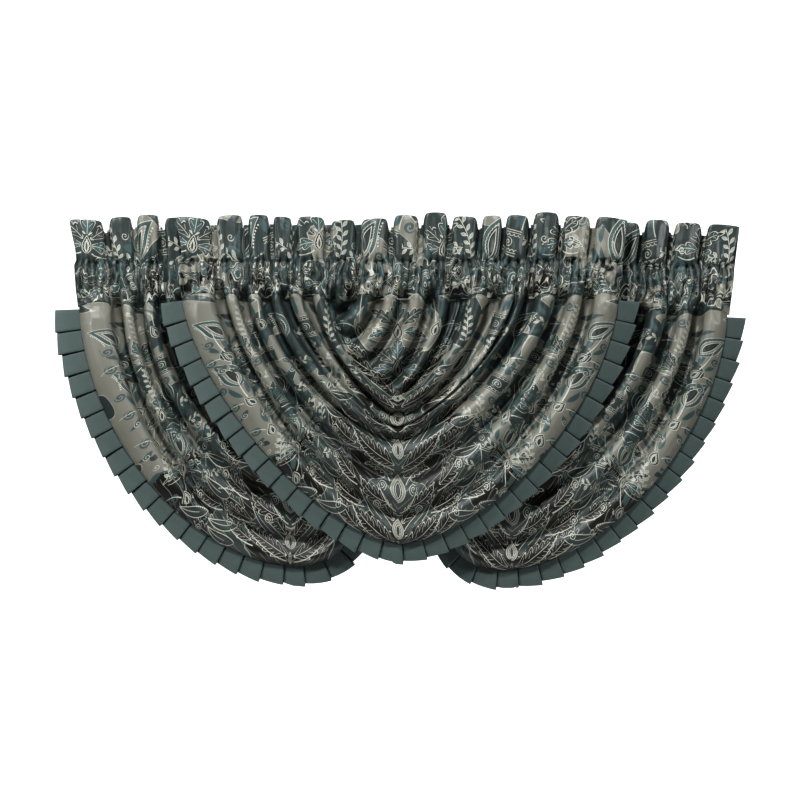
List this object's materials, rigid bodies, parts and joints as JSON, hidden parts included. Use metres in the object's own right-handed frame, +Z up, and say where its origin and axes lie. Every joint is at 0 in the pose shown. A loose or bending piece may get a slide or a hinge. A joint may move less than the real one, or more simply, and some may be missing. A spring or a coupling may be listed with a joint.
{
  "type": "waterfall valance",
  "caption": "Waterfall valance of gathered, overlapping swags in patterned cloth, with rod-pocket headings and knife-pleated trim.",
  "frame": {"origin": "middle of the top edge of the front swag's heading, halfway in depth between the pocket line of the front swag and that of the two behind it", "axes": "+Z up, -Y towards the room (the front), +X to the right as seen from the room"},
  "size_m": [1.8126, 0.1297, 0.9859],
  "materials": {
    "jacquard": "silky woven pattern in taupe, teal, slate and cream",
    "trim_cloth": "plain slate-teal weave with a soft sheen"
  },
  "bodies": {
    "root": {"front_heading": "jacquard", "front_panel": "jacquard", "front_trim": "trim_cloth", "left_heading": "jacquard", "left_panel": "jacquard", "left_trim": "trim_cloth", "right_heading": "jacquard", "right_panel": "jacquard", "right_trim": "trim_cloth"}
  },
  "joints": []
}
